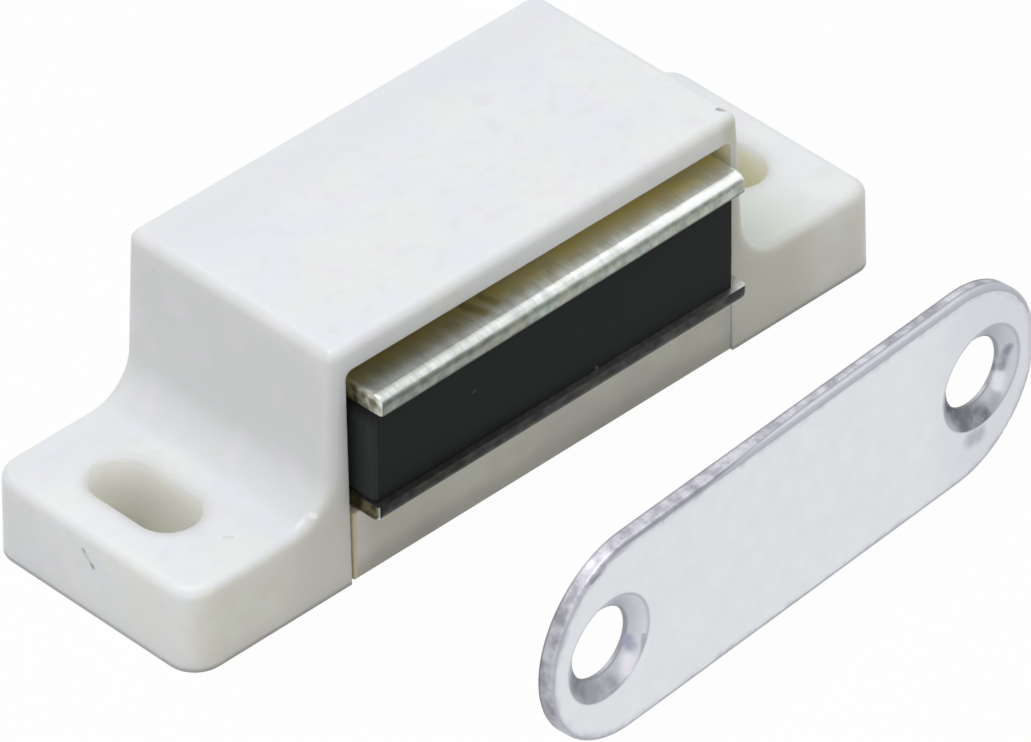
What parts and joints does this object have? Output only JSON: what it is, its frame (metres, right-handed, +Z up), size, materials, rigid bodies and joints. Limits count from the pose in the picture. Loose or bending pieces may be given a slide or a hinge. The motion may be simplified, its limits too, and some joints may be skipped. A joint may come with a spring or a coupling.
{
  "type": "magnetic cupboard catch",
  "caption": "Surface-mounted magnetic catch for a cupboard door: white housing with slotted ears, floating magnet between steel pole plates, and a loose steel strike plate.",
  "frame": {"origin": "on the mounting plane, midway between the two screw slots and midway in the housing's depth", "axes": "+X along the housing's length, -Y out of the open front with the magnet, +Z up from the mounting plane"},
  "size_m": [0.05, 0.0341, 0.0152],
  "materials": {
    "white_plastic": "satin",
    "cover_plastic": "satin",
    "plated_steel": "satin",
    "ferrite": "satin",
    "strike_steel": "satin"
  },
  "bodies": {
    "catch": {"housing": "white_plastic", "bottom_cover": "cover_plastic"},
    "magnet_pack": {"upper_pole_plate": "plated_steel", "lower_pole_plate": "plated_steel", "magnet": "ferrite"},
    "strike": {"strike_plate": "strike_steel"}
  },
  "joints": [
    {"name": "pack_float", "type": "slide", "parent": "catch", "child": "magnet_pack", "axis": [0, 1, 0], "range_m": [0, 0.0015]},
    {"name": "door_swing", "type": "hinge", "parent": "catch", "child": "strike", "pos_m": [0.20219, -0.00975, 0.0061], "axis": [0, 0, -1], "range_deg": [0, 4.1]}
  ]
}
